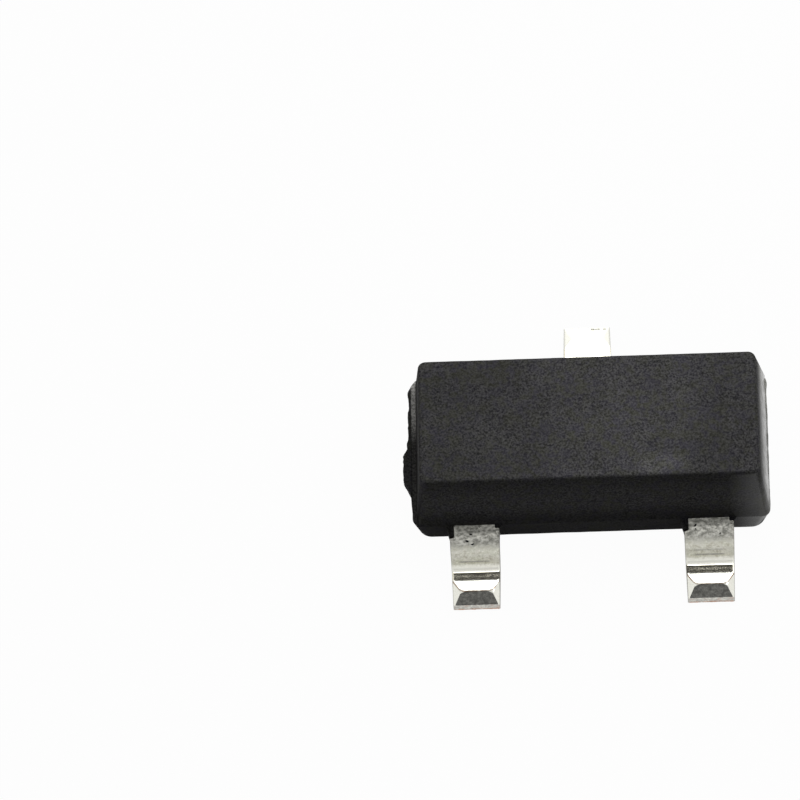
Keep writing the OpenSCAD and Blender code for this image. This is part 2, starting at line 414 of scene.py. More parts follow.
# Mould compound: glaze of the right end and the front right corner, and a painted highlight on the right
# end's glaze, paler to the rear
GLAZE_END_BAND = (1.345, 1.375)
GLAZE_HIGH_BAND = (0.92, 0.38)
GLAZE_LOW_BAND = (0.06, 0.3)
GLAZE_FRONT_BAND = (-0.62, -0.35, 0.5, 1.0)
GLAZE_TINT_BAND = (0.35, 0.65, 0.85, 1.15)
CORNER_GLAZE_BAND = (1.06, 1.52, 0.0, 0.85)
CORNER_HIGH_BAND = (0.965, 0.93)
GLAZE_HIGHLIGHT_BAND = (0.1, 0.5, 0.3, 0.6)

# Mould compound: painted highlight on the step at the left end
STEP_IN_BAND = (-1.408, -1.416)
STEP_OUT_BAND = (-1.458, -1.446)
STEP_LEVEL_BAND = (0.012, 0.006)
STEP_REAR_BAND = (0.08, 0.42, 0.12, 1.0)
STEP_SPECKLE_BAND = (0.35, 0.65, 0.35, 1.0)

# Mould compound: gloss and relief
COMPOUND_ROUGHNESS = 0.65
GLAZE_ROUGHENS = -0.42
GRAIN_ROUGHENS = 0.1
COMPOUND_SHEEN = 0.012
GLAZE_ROUGHNESS = 0.2
COMPOUND_BUMP = 0.35
COMPOUND_BUMP_DEPTH = 0.003 * MM


def compound_tone(tree, fine, tint, cloud):
    """Black speckled with silica, a little olive here and violet there."""
    speckled = mixed(tree, between(tree, fine, *GRAIN_BAND), GRAIN_DARK, GRAIN_LIGHT)
    tone = mixed(tree, between(tree, tint, *TINT_BAND), OLIVE_TONE, VIOLET_TONE)
    return mixed(tree, between(tree, cloud, *TONE_BAND), speckled, tone)


def top_sheen_and_stain(tree, place, cloud):
    """Lightness of the top: stains, and painted sheen that is lighter towards the right, dimmer at both
    ends and pale in one patch near the front edge.
    """
    x, _, _ = axes_of(tree, place)
    # Painted sheen: one pale patch near the front edge
    from_sheen_patch = stretched(tree, place, SHEEN_PATCH_SCALES, SHEEN_PATCH_MIDDLE)
    off_sheen_patch = node(tree, "ShaderNodeVectorMath", {0: from_sheen_patch}, operation="LENGTH").outputs["Value"]
    sheen_patch = between(tree, maths(tree, "ADD", off_sheen_patch, cloud), *SHEEN_PATCH_BAND)
    stain = between(tree, grain(tree, place, STAIN_SCALE), *STAIN_BAND)
    # Painted sheen: lighter towards the right, dimmer at both ends
    left = between(tree, x, *TOP_LEFT_SHEEN_BAND)
    right = between(tree, x, *TOP_RIGHT_SHEEN_BAND)
    return product(tree, left, right, stain, sheen_patch)


def wall_painted_shade(tree, x, z):
    """Painted shade on the long walls, which are darker low down, at the upper edge and to the right."""
    low = between(tree, z, *WALL_LOW_SHADE_BAND)
    high = between(tree, z, *WALL_HIGH_SHADE_BAND)
    return product(tree, low, high, between(tree, x, *WALL_RIGHT_SHADE_BAND))


def left_end_painted_shade(tree, x, z):
    """Painted shade on the left end, which is dark low down, with the gate a little paler."""
    low = between(tree, z, *LEFT_END_SHADE_BAND, smooth=False)
    return maths(tree, "ADD", low, between(tree, x, *GATE_BAND))


def end_glaze(tree, place, tint):
    """Share of glaze on the right end, thinner to the front, to the top and to the underside."""
    x, y, z = axes_of(tree, place)
    upright = product(tree, between(tree, z, *GLAZE_HIGH_BAND), between(tree, z, *GLAZE_LOW_BAND))
    front = between(tree, y, *GLAZE_FRONT_BAND)
    uneven = between(tree, tint, *GLAZE_TINT_BAND)
    return product(tree, between(tree, x, *GLAZE_END_BAND), upright, front, uneven)


def corner_glaze(tree, place, on_wall):
    """Share of glaze on the front wall, growing round the right corner."""
    x, y, z = axes_of(tree, place)
    in_front = between(tree, y, *FRONT_HALF)
    below_top = between(tree, z, *CORNER_HIGH_BAND)
    return product(tree, on_wall, between(tree, x, *CORNER_GLAZE_BAND), in_front, below_top)


def step_highlight(tree, place, off_part, fine):
    """Share of painted highlight on the step, speckled, most of it to the rear."""
    x, y, _ = axes_of(tree, place)
    on_step = product(tree, between(tree, x, *STEP_IN_BAND), between(tree, x, *STEP_OUT_BAND),
                      between(tree, off_part, *STEP_LEVEL_BAND))
    return product(tree, on_step, between(tree, y, *STEP_REAR_BAND), between(tree, fine, *STEP_SPECKLE_BAND))


def mould_compound():
    """Black epoxy with silica grain, stained on top, with painted sheen on the top, pale in one patch,
    painted shade on the walls and the left end, glaze low on the right end with a painted highlight, and
    a painted highlight on the step at the left end of the parting line."""
    material, tree, shader, place = new_material("mould_compound")
    x, y, z = axes_of(tree, place)
    fine = grain(tree, place, GRAIN_SCALE, detail=2.0, roughness=0.8)
    tint = grain(tree, place, TINT_SCALE)
    cloud = grain(tree, place, CLOUD_SCALE)

    off_part = distance(tree, z, Z_PART / MM)
    drawn_in = product(tree, off_part, math.tan(DRAFT))
    across = maths(tree, "ADD", maths(tree, "ABSOLUTE", y), drawn_in)
    along = maths(tree, "ADD", maths(tree, "ABSOLUTE", x), drawn_in)
    on_wall = between(tree, across, *WALL_BAND)
    on_left = product(tree, between(tree, along, *LEFT_BAND), between(tree, x, *LEFT_HALF))
    # Painted sheen and shade on the top, the walls and the left end, with the top's stains
    painted_light_and_stain = blended(tree, on_wall, top_sheen_and_stain(tree, place, cloud), wall_painted_shade(tree, x, z))
    painted_light_and_stain = blended(tree, on_left, painted_light_and_stain, left_end_painted_shade(tree, x, z))

    glazed = end_glaze(tree, place, tint)
    # Painted highlight on the right end's glaze, paler to the rear
    glaze_highlight = product(tree, glazed, between(tree, y, *GLAZE_HIGHLIGHT_BAND))
    colour = scaled(tree, compound_tone(tree, fine, tint, cloud), painted_light_and_stain)
    colour = mixed(tree, glaze_highlight, colour, GLAZE_HIGHLIGHT)
    # Painted highlight on the step at the left end
    colour = mixed(tree, step_highlight(tree, place, off_part, fine), colour, STEP_HIGHLIGHT)
    rough = sum_of(tree, COMPOUND_ROUGHNESS, (glazed, GLAZE_ROUGHENS), (fine, GRAIN_ROUGHENS))
    coat = maths(tree, "MAXIMUM", glazed, corner_glaze(tree, place, on_wall))
    connect(tree, shader, "Base Color", colour)
    connect(tree, shader, "Roughness", rough)
    connect(tree, shader, "Specular IOR Level", COMPOUND_SHEEN)
    connect(tree, shader, "Coat Weight", coat)
    connect(tree, shader, "Coat Roughness", GLAZE_ROUGHNESS)
    bumped(tree, shader, fine, COMPOUND_BUMP, COMPOUND_BUMP_DEPTH)
    return material


# Tin plate: colours
SHOULDER_GREY = (0.52, 0.515, 0.455, 1)
SHOULDER_LIGHT = (0.9, 0.89, 0.83, 1)
SHOULDER_STAIN = (0.2, 0.2, 0.175, 1)
RAMP_OLIVE = (0.49, 0.492, 0.405, 1)
RAMP_GREY = (0.53, 0.515, 0.46, 1)
RAMP_GRAIN = (0.64, 0.635, 0.56, 1)
RAMP_BROWN = (0.36, 0.34, 0.27, 1)
RAMP_PALE = (0.74, 0.735, 0.67, 1)
FOOT_GREY = (0.73, 0.725, 0.655, 1)
FOOT_LIGHT = (0.78, 0.775, 0.71, 1)
HEEL_WARM = (0.76, 0.725, 0.6, 1)
SCORE_DARK = (0.2, 0.195, 0.2, 1)
WORN_BROWN = (0.2, 0.115, 0.06, 1)
# Sheared grey that is also painted shade on the sides of the leads
SHEARED_SHADE_GREY = (0.3, 0.29, 0.265, 1)
CUT_GREY = (0.5, 0.485, 0.455, 1)
CUT_COPPER = (0.62, 0.48, 0.41, 1)

# Tin plate: grain
MOTTLE_SCALES = (22, 40, 40)
STREAK_SCALES = (9, 95, 95)
BLOTCH_SCALE = 13
FINE_SCALE = 110
SPOT_SCALE = 34
BLOTCH_BAND = (0.35, 0.65)
FINE_BAND = (0.3, 0.7)

# Tin plate: the parts of a lead, most by the way from its tip
UPPER_BAND = (0.03, 0.05)
SHOULDER_BAND = (0.515, 0.58)
SHOULDER_WANDER = 0.1
RAMP_BAND = (0.285, 0.315)
DULL_BAND = (0.33, 0.43)
TIP_BAND = (0.14, 0.12)
TIP_MIDDLE_BAND = (0.16, 0.11)
CUT_BAND = (0.0012, 0.0004)
SHEARED_BAND = (0.97, 0.995)
HEEL_PLACE = 0.247
HEEL_BAND = (0.045, 0.03)

# Tin plate: stains and spots
MOTTLE_SHARE = 0.55
SHOULDER_STAIN_BAND = (0.36, 0.66)
# Painted shade on the shoulder, darker towards the ramp
SHOULDER_SHADE_BAND = (0.56, 0.66, 0.76, 1.04)
BROWN_SPOT_BAND = (0.5, 0.7, 0.0, 0.7)
PALE_SPOT_BAND = (0.46, 0.3, 0.0, 0.6)
TIP_SPOT_BAND = (0.35, 0.65, 0.74, 1.14)

# Tin plate: marks of the tools
FIRST_SCORE = 0.44
SECOND_SCORE = 0.488
SCORE_BAND = (0.012, 0.004)
SCORE_WANDER = 0.08
SCORE_MIDDLE_BAND = (0.18, 0.14)
SCORE_BREAK_BAND = (0.35, 0.55, 0.25, 0.7)
SECOND_SCORE_BAND = (0.1, 0.2, 0.0, 0.5)
WORN_START_BAND = (0.0002, 0.001)
WORN_END_BAND = (0.005, 0.003)
WORN_BLOTCH_BAND = (0.35, 0.6, 0.45, 0.95)
SHEARED_STREAK_BAND = (0.3, 0.6, 0.5, 0.9)
# Painted shade on the sheared sides, weaker on the rear lead
SIDE_SHADE_FRONT_BAND = (0.0, 1.0, 0.3)
CUT_SPOT_BAND = (0.35, 0.6, 0.9, 0.2)
CUT_BLOTCH_BAND = (0.48, 0.66, 0.0, 0.6)
SCUFF_BAND = (0.02, 0.006)
SCUFF_STREAK_BAND = (0.3, 0.6)

# Tin plate: gloss and relief
TIN_ROUGHNESS = 0.03
SHOULDER_ROUGHENS = 0.2
RAMP_ROUGHENS = 0.3
CUT_ROUGHENS = 0.3
SCUFF_ROUGHENS = 0.075
FINE_ROUGHENS = 0.03
SHEARED_ROUGHNESS = 0.4
METALLIC_BAND = (0.3, 0.7, 0.8, 0.93)
PIT_DEPTH = 2.5
TIN_BUMP = 0.4
TIN_BUMP_DEPTH = 0.0014 * MM


def lead_surface(tree, place):
    """What the finish of a lead follows: places on the lead, and the noises of its skin."""
    x, y, z = axes_of(tree, place)
    from_tip = carried(tree, "from_tip")
    sheared = between(tree, carried(tree, "aside"), *SHEARED_BAND)
    return SimpleNamespace(
        x=x,
        in_front=between(tree, y, *FRONT_HALF),
        upper=between(tree, z, *UPPER_BAND),
        from_tip=from_tip,
        off_heel=distance(tree, from_tip, HEEL_PLACE),
        across=maths(tree, "ABSOLUTE", carried(tree, "across")),
        pressed=carried(tree, "pressed"),
        sheared=sheared,
        unsheared=maths(tree, "SUBTRACT", 1.0, sheared),
        cut=between(tree, from_tip, *CUT_BAND, smooth=False),
        mottle=grain(tree, stretched(tree, place, MOTTLE_SCALES), 1.0),
        streak=grain(tree, stretched(tree, place, STREAK_SCALES), 1.0, detail=2.0),
        blotch=grain(tree, place, BLOTCH_SCALE, detail=2.0),
        fine=grain(tree, place, FINE_SCALE, detail=2.0),
        spot=grain(tree, place, SPOT_SCALE, detail=2.0, roughness=0.7),
    )


def shoulder_colour(tree, on):
    """Light tin with dark stains, and painted shade that darkens it towards the ramp."""
    light = mixed(tree, on.blotch, SHOULDER_GREY, SHOULDER_LIGHT)
    patchy = sum_of(tree, 0.0, (on.spot, 1 - MOTTLE_SHARE), (on.mottle, MOTTLE_SHARE))
    stained = mixed(tree, between(tree, patchy, *SHOULDER_STAIN_BAND), SHOULDER_STAIN, light)
    # Painted shade, darker towards the ramp
    return scaled(tree, stained, between(tree, on.from_tip, *SHOULDER_SHADE_BAND))


def ramp_colour(tree, on):
    """Dull tin with brown and pale spots."""
    greyed = mixed(tree, between(tree, on.blotch, *BLOTCH_BAND), RAMP_OLIVE, RAMP_GREY)
    dull = mixed(tree, between(tree, on.fine, *FINE_BAND), greyed, RAMP_GRAIN)
    dull = mixed(tree, between(tree, on.spot, *BROWN_SPOT_BAND), dull, RAMP_BROWN)
    return mixed(tree, between(tree, on.spot, *PALE_SPOT_BAND), dull, RAMP_PALE)


def plated_colour(tree, on, shoulder):
    """Tin without the marks of the tools: clean on the foot, warm at the heel, specked on a front tip."""
    clean = mixed(tree, between(tree, on.fine, *FINE_BAND), FOOT_GREY, FOOT_LIGHT)
    foot = mixed(tree, between(tree, on.from_tip, *DULL_BAND), clean, ramp_colour(tree, on))
    skin = mixed(tree, shoulder, foot, shoulder_colour(tree, on))
    tip_middle = between(tree, on.across, *TIP_MIDDLE_BAND)
    on_tip = product(tree, between(tree, on.from_tip, *TIP_BAND), tip_middle, on.in_front)
    specked = between(tree, on.spot, *TIP_SPOT_BAND)
    skin = scaled(tree, skin, blended(tree, on_tip, 1.0, specked))
    return mixed(tree, between(tree, on.off_heel, *HEEL_BAND), skin, HEEL_WARM)


def scored(tree, on, skin):
    """Broken lines that the forming tool left across the ramp, the second only on the right lead."""
    near_middle = between(tree, sum_of(tree, on.across, (on.blotch, SCORE_WANDER)), *SCORE_MIDDLE_BAND)
    broken = between(tree, on.streak, *SCORE_BREAK_BAND)
    on_right = between(tree, on.x, *SECOND_SCORE_BAND)
    for line_place, depth in ((FIRST_SCORE, 1.0), (SECOND_SCORE, on_right)):
        on_line = between(tree, distance(tree, on.from_tip, line_place), *SCORE_BAND)
        skin = mixed(tree, product(tree, on_line, near_middle, broken, depth), skin, SCORE_DARK)
    return skin


def worn(tree, on, skin):
    """Brown alloy that shows where the bevels of the front tips begin."""
    start = between(tree, on.pressed, *WORN_START_BAND)
    end = between(tree, on.pressed, *WORN_END_BAND)
    uneven = between(tree, on.blotch, *WORN_BLOTCH_BAND)
    share = product(tree, start, end, on.in_front, uneven, on.upper, on.unsheared)
    return mixed(tree, share, skin, WORN_BROWN)


def cut_bare(tree, on, skin):
    """Sheared sides and cut tips, where little of the tin is left; the grey on the sides is also painted
    shade, less on the rear lead.
    """
    # Sheared, bare sides with painted shade, weaker on the rear lead
    sided_shade = product(tree, on.sheared, between(tree, on.streak, *SHEARED_STREAK_BAND),
                    between(tree, on.in_front, *SIDE_SHADE_FRONT_BAND))
    skin = mixed(tree, sided_shade, skin, SHEARED_SHADE_GREY)
    greyed = product(tree, on.cut, between(tree, on.spot, *CUT_SPOT_BAND))
    skin = mixed(tree, greyed, skin, CUT_GREY)
    bared = product(tree, on.cut, between(tree, on.blotch, *CUT_BLOTCH_BAND))
    return mixed(tree, bared, skin, CUT_COPPER)


def tin_plate():
    """Bright tin with a thin haze: matt and mottled on the shoulder, with painted shade towards the ramp,
    dull on the ramp, bare alloy where it was cut, and painted shade on the sheared sides."""
    material, tree, shader, place = new_material("tin_plate")
    on = lead_surface(tree, place)
    level = maths(tree, "SUBTRACT", on.from_tip, SHOULDER_WANDER / 2)
    shoulder = between(tree, sum_of(tree, level, (on.mottle, SHOULDER_WANDER)), *SHOULDER_BAND)
    ramp = between(tree, on.from_tip, *RAMP_BAND)

    skin = plated_colour(tree, on, shoulder)
    skin = scored(tree, on, skin)
    skin = worn(tree, on, skin)
    skin = cut_bare(tree, on, skin)
    scuff_streak = between(tree, on.streak, *SCUFF_STREAK_BAND)
    scuffed = product(tree, between(tree, on.off_heel, *SCUFF_BAND), scuff_streak, on.upper)
    rough = sum_of(tree, TIN_ROUGHNESS, (shoulder, SHOULDER_ROUGHENS), (ramp, RAMP_ROUGHENS),
                   (on.cut, CUT_ROUGHENS), (scuffed, SCUFF_ROUGHENS), (on.fine, FINE_ROUGHENS))
    pits = product(tree, on.mottle, shoulder, PIT_DEPTH)
    dragged = product(tree, maths(tree, "ADD", on.streak, on.fine), ramp)
    relief = product(tree, maths(tree, "ADD", pits, dragged), on.unsheared)
    connect(tree, shader, "Base Color", skin)
    connect(tree, shader, "Roughness", blended(tree, on.sheared, rough, SHEARED_ROUGHNESS))
    connect(tree, shader, "Metallic", between(tree, on.mottle, *METALLIC_BAND))
    bumped(tree, shader, relief, TIN_BUMP, TIN_BUMP_DEPTH)
    return material


# Other metals and the chip
METAL_BAND = (0.3, 0.7)
METAL_ROUGHENS = 0.15
METAL_BUMP = 0.3
METAL_BUMP_DEPTH = 0.001 * MM
WELL_DARK = (0.16, 0.17, 0.2, 1)
WELL_LIGHT = (0.2, 0.2, 0.24, 1)
WELL_EDGE = (0.32, 0.33, 0.36, 1)
WELL_EDGE_W = 0.04
WELL_SCALE = 10.0
CHIP_HAZE_SCALE = 30
CHIP_HAZE_BAND = (0.2, 0.8, 0.15, 0.3)
CHIP_METALLIC = 0.4


def simple_metal(name, dark, light, roughness, scale):
    """Metal whose colour and gloss wander a little."""
    material, tree, shader, place = new_material(name)
    wander = grain(tree, place, scale)
    connect(tree, shader, "Base Color", mixed(tree, between(tree, wander, *METAL_BAND), dark, light))
    connect(tree, shader, "Roughness", sum_of(tree, roughness, (wander, METAL_ROUGHENS)))
    connect(tree, shader, "Metallic", 1.0)
    bumped(tree, shader, wander, METAL_BUMP, METAL_BUMP_DEPTH)
    return material


def silicon():
    """Polished chip with a faint grid of doped wells on it."""
    material, tree, shader, place = new_material("silicon")
    wells = node(tree, "ShaderNodeTexBrick", {
        "Vector": place, "Scale": WELL_SCALE, "Color1": WELL_DARK, "Color2": WELL_LIGHT,
        "Mortar": WELL_EDGE, "Mortar Size": WELL_EDGE_W,
    })
    haze = grain(tree, place, CHIP_HAZE_SCALE)
    connect(tree, shader, "Base Color", wells.outputs["Color"])
    connect(tree, shader, "Roughness", between(tree, haze, *CHIP_HAZE_BAND))
    connect(tree, shader, "Metallic", CHIP_METALLIC)
    return material


# Moulded body

RIGHT_ANGLE = math.pi / 2
CORNER_STEPS = 14
END_STEPS = 60
SIDE_STEPS = 150
CAP_STEPS = 14
BODY_EDGE_STEPS = 8
LOWER_STEPS = 22
UPPER_STEPS = 40

# Faint waves of the moulded skin
WAVE_LEN = 0.22 * MM
WAVE_DEPTH = 0.0016 * MM
WAVE_FALL = 1.0
WAVE_GROWTH = 2.0
WAVE_OCTAVES = 3

# Torn moulding: size of the tears, then cuts, depth and least looseness of the gate and of the webs
TEAR_LEN = 0.03 * MM
TEAR_OCTAVES = 3
GATE_CUTS = 12
GATE_TEAR = 0.008 * MM
GATE_LOOSE = 0.1
WEB_CUTS = 6
WEB_TEAR = 0.005 * MM
WEB_LOOSE = 0.3


def body_outline():
    """Points round the body: shares of the inner rectangle's half sides, and the way out to the wall."""
    outline = []
    corners = [Vector((1, -1)), Vector((1, 1)), Vector((-1, 1)), Vector((-1, -1))]
    for i, here in enumerate(corners):
        first = RIGHT_ANGLE * (i - 1)
        beyond = corners[(i + 1) % 4]
        for k in range(CORNER_STEPS):
            a = first + RIGHT_ANGLE * k / CORNER_STEPS
            outline.append((here, Vector((math.cos(a), math.sin(a)))))
        a = first + RIGHT_ANGLE
        steps = END_STEPS if i % 2 == 0 else SIDE_STEPS
        for k in range(steps):
            outline.append((here.lerp(beyond, k / steps), Vector((math.cos(a), math.sin(a)))))
    return outline


def wall_inset(z):
    """How far the drafted wall has drawn in at a height."""
    return abs(z - Z_PART) * math.tan(DRAFT)


def left_step(z):
    """Step of the left end above the parting line, where the halves of the mould did not quite meet."""
    if z < Z_PART + PARTING_RISE:
        return 0.0
    return PARTING_STEP + (TOP_STEP - PARTING_STEP) * (z - Z_PART) / (Z_TOP - Z_PART)


def from_parting(z):
    """Share of the way from the parting line to the top or the underside."""
    return (z - Z_PART) / (Z_TOP - Z_PART) if z > Z_PART else (Z_PART - z) / (Z_PART - Z_UNDER)


def corner_radius(z, rear):
    """Radius of the upright corners, which opens to the underside, and at the rear also to the top."""
    part_r = REAR_PART_CORNER_R if rear else CORNER_R
    top_r = REAR_TOP_CORNER_R if rear else CORNER_R
    return part_r + ((top_r if z > Z_PART else UNDER_CORNER_R) - part_r) * from_parting(z)


def body_levels():
    """Rings from the middle of the underside to the middle of the top: share of the whole ring,
    step in from the parting line, height, and slope of the surface."""
    levels = []

    def edge(r, z, first, last):
        """Rings of a rounded edge."""
        middle = wall_inset(z) + r / math.cos(DRAFT)
        for k in range(BODY_EDGE_STEPS + 1):
            a = first + (last - first) * k / BODY_EDGE_STEPS
            levels.append((1.0, middle - r * math.cos(a), z + r * math.sin(a), a))

    def wall(z_first, z_last, steps, slope):
        """Rings of a drafted wall."""
        for k in range(1, steps):
            z = z_first + (z_last - z_first) * k / steps
            levels.append((1.0, wall_inset(z), z, slope))

    z_low = Z_UNDER + UNDER_EDGE_R
    z_high = Z_TOP - TOP_EDGE_R
    z_step = Z_PART + PARTING_RISE
    under_inset = wall_inset(z_low) + UNDER_EDGE_R / math.cos(DRAFT)
    top_inset = wall_inset(z_high) + TOP_EDGE_R / math.cos(DRAFT)
    levels += [(k / CAP_STEPS, under_inset, Z_UNDER, -RIGHT_ANGLE) for k in range(1, CAP_STEPS)]
    edge(UNDER_EDGE_R, z_low, -RIGHT_ANGLE, -DRAFT)
    wall(z_low + UNDER_EDGE_R * math.sin(-DRAFT), Z_PART, LOWER_STEPS, -DRAFT)
    levels.append((1.0, 0.0, Z_PART, 0.0))
    levels.append((1.0, wall_inset(z_step), z_step, DRAFT))
    wall(z_step, z_high + TOP_EDGE_R * math.sin(DRAFT), UPPER_STEPS, DRAFT)
    edge(TOP_EDGE_R, z_high, DRAFT, RIGHT_ANGLE)
    levels += [(k / CAP_STEPS, top_inset, Z_TOP, RIGHT_ANGLE) for k in range(CAP_STEPS - 1, 0, -1)]
    return levels


def mould_body_mesh():
    """Body with walls drafted both ways from the parting line, and the faint waves of a moulded skin."""
    outline = body_outline()
    levels = body_levels()
    points = [(0.0, 0.0, Z_UNDER)]
    for share, inset, z, slope in levels:
        left = left_step(z)
        for side, way in outline:
            rear = side.y > 0
            r = corner_radius(z, rear)
            flare = REAR_FLARE * (1 - from_parting(z)) if rear else 0.0
            x = share * (side.x * (HALF_LEN - inset - r) + way.x * r + left * (1 - side.x) / 2)
            y = share * (side.y * (HALF_W + flare - inset - r) + way.y * r)
            place = Vector((x, y, z))
            outwards = Vector((way.x * math.cos(slope), way.y * math.cos(slope), math.sin(slope)))
            wave = noise.fractal(place / WAVE_LEN, WAVE_FALL, WAVE_GROWTH, WAVE_OCTAVES) * WAVE_DEPTH
            points.append(tuple(place + outwards * wave))
    points.append((0.0, 0.0, Z_TOP))
    ring = len(outline)
    last = len(points) - 1
    faces = []
    for k in range(ring):
        n = (k + 1) % ring
        faces.append((0, 1 + n, 1 + k))
        for i in range(len(levels) - 1):
            a = 1 + i * ring
            faces.append((a + k, a + n, a + ring + n, a + ring + k))
        faces.append((last, last - ring + k, last - ring + n))
    return plain_mesh("mould_body_fine", points, faces)


def torn_block(outline, z_low, z_high, cuts, tear, looseness):
    """Block of moulding over an outline, torn by up to tear where looseness, from 0 to 1, says."""
    shell = bmesh.new()
    floor = [shell.verts.new((x, y, z_low)) for x, y in outline]
    body = bmesh.ops.extrude_face_region(shell, geom=[shell.faces.new(floor)])
    raised = [v for v in body["geom"] if isinstance(v, bmesh.types.BMVert)]
    bmesh.ops.translate(shell, verts=raised, vec=(0, 0, z_high - z_low))
    bmesh.ops.triangulate(shell, faces=[f for f in shell.faces if len(f.verts) > 4])
    bmesh.ops.subdivide_edges(shell, edges=shell.edges, cuts=cuts, use_grid_fill=True)
    for v in shell.verts:
        torn = noise.turbulence_vector(v.co / TEAR_LEN, TEAR_OCTAVES, False)
        v.co += torn * tear * min(max(looseness(v.co), 0.0), 1.0)
    bmesh.ops.recalc_face_normals(shell, faces=shell.faces)
    mesh = bpy.data.meshes.new("torn_block")
    shell.to_mesh(mesh)
    shell.free()
    return mesh


def gate_mesh():
    """Stub of the runner, broken off the left end."""
    root_x = GATE_ROOT - HALF_LEN
    face_x = -HALF_LEN - GATE_OUT
    rear_half = [(root_x, GATE_W / 2), (-HALF_LEN, GATE_W / 2), (face_x, GATE_FACE_W / 2)]
    front_half = [(x, -y) for x, y in reversed(rear_half)]
    outline = [(x, y + GATE_Y) for x, y in rear_half + front_half]
    return torn_block(outline, Z_PART - GATE_T, Z_PART, GATE_CUTS, GATE_TEAR,
                      lambda place: (-HALF_LEN - place.x) / GATE_OUT + GATE_LOOSE)


def dam_y(turn, side):
    """Distance from the body's middle at which the dam bar was sheared off, nearer on the right of a
    front lead."""
    return NEAR_DAM_Y if turn and side < 0 else DAM_Y


def web_meshes(lead_x, turn):
    """Webs of thin moulding on both sides of a lead, from the wall to where the dam bar was."""
    meshes = []
    in_y = HALF_W - CORNER_R
    wide_half = DAM_HALF_W + FLASH_W
    for side in (-1, 1):
        out_y = dam_y(turn, side)
        outline = [
            (side * ROOT_HALF_W, in_y), (side * wide_half, in_y), (side * wide_half, HALF_W),
            (side * DAM_HALF_W, out_y), (side * ROOT_HALF_W, out_y),
        ]
        mesh = torn_block(outline, Z_PART - LEAD_T, Z_PART, WEB_CUTS, WEB_TEAR,
                          lambda place: (place.y - HALF_W) / DAM_GAP + WEB_LOOSE)
        mesh.transform(lead_frame(lead_x, turn))
        meshes.append(mesh)
    return meshes


def make_mould_body(material):
    """The body with its gate and the webs beside the leads."""
    meshes = [mould_body_mesh(), gate_mesh()]
    for lead_x, turn, _ in LEAD_PLACES.values():
        meshes += web_meshes(lead_x, turn)
    mesh = joined_mesh("mould_body_fine", meshes, material)
    finish_piece("mould_body_fine", mesh, BODY_SHARP, "mould_compound", "mould_body")


# Flash on the parting line: how far it stands out, in millimetres, by share of the way round each end
FLASH_RIGHT = (
    (0.0, -0.02), (0.1, 0.002), (0.16, 0.02), (0.24, 0.01), (0.8, 0.005), (0.9, 0.003), (1.0, -0.02),
)
FLASH_LEFT = (
    (0.0, -0.02), (0.1, 0.06), (0.13, 0.1), (0.145, 0.062), (0.16, 0.042), (0.193, 0.034),
    (0.46, 0.036), (0.75, 0.012), (1.0, -0.02),
)
FLASH_ROOT = 0.015 * MM
FLASH_REAR_RUN = 0.2 * MM
FLASH_FRONT_RUN = 0.1 * MM
FLASH_STEP = 0.006 * MM
FLASH_LUMPS = (0.34, 0.66, 0.6, 1.15)
FLASH_SIZES = {
    "Root": FLASH_ROOT,
    "Thickness": 0.014 * MM,
    "Tear Scale": 7 / MM,
    "Sag": 0.02 * MM,
}
FLASH_SEED = 3.0


def at_share(stops, share):
    """Value between the stops on both sides of a share."""
    for (s0, v0), (s1, v1) in zip(stops, stops[1:]):
        if share <= s1:
            return v0 + (v1 - v0) * (share - s0) / (s1 - s0)
    return stops[-1][1]


def flash_line(side, stops):
    """Line just inside the parting line round one end, from the rear wall to the front wall."""
    x, y = HALF_LEN - CORNER_R, HALF_W - CORNER_R
    line = []

    def straight(first, last, way):
        """Run along a wall."""
        count = round((last - first).length / FLASH_STEP)
        line.extend((first.lerp(last, k / count), way) for k in range(count))

    def corner(middle, first):
        """Run round an upright corner."""
        count = round(CORNER_R * RIGHT_ANGLE / FLASH_STEP)
        for k in range(count):
            a = first - RIGHT_ANGLE * k / count
            way = Vector((math.cos(a), math.sin(a), 0))
            line.append((middle + way * CORNER_R, way))

    straight(Vector((x - FLASH_REAR_RUN, HALF_W, 0)), Vector((x, HALF_W, 0)), Vector((0, 1, 0)))
    corner(Vector((x, y, 0)), RIGHT_ANGLE)
    straight(Vector((HALF_LEN, y, 0)), Vector((HALF_LEN, -y, 0)), Vector((1, 0, 0)))
    corner(Vector((x, -y, 0)), 0.0)
    straight(Vector((x, -HALF_W, 0)), Vector((x - FLASH_FRONT_RUN, -HALF_W, 0)), Vector((0, -1, 0)))
    places, ways, reaches = [], [], []
    for k, (place, way) in enumerate(line):
        turned = Vector((side * way.x, way.y, 0))
        places.append(Vector((side * place.x, place.y, Z_PART)) - turned * FLASH_ROOT)
        ways.append(turned)
        reaches.append(at_share(stops, k / (len(line) - 1)) * MM)
    return line_mesh("flash_line", places, way=ways, reach=reaches)


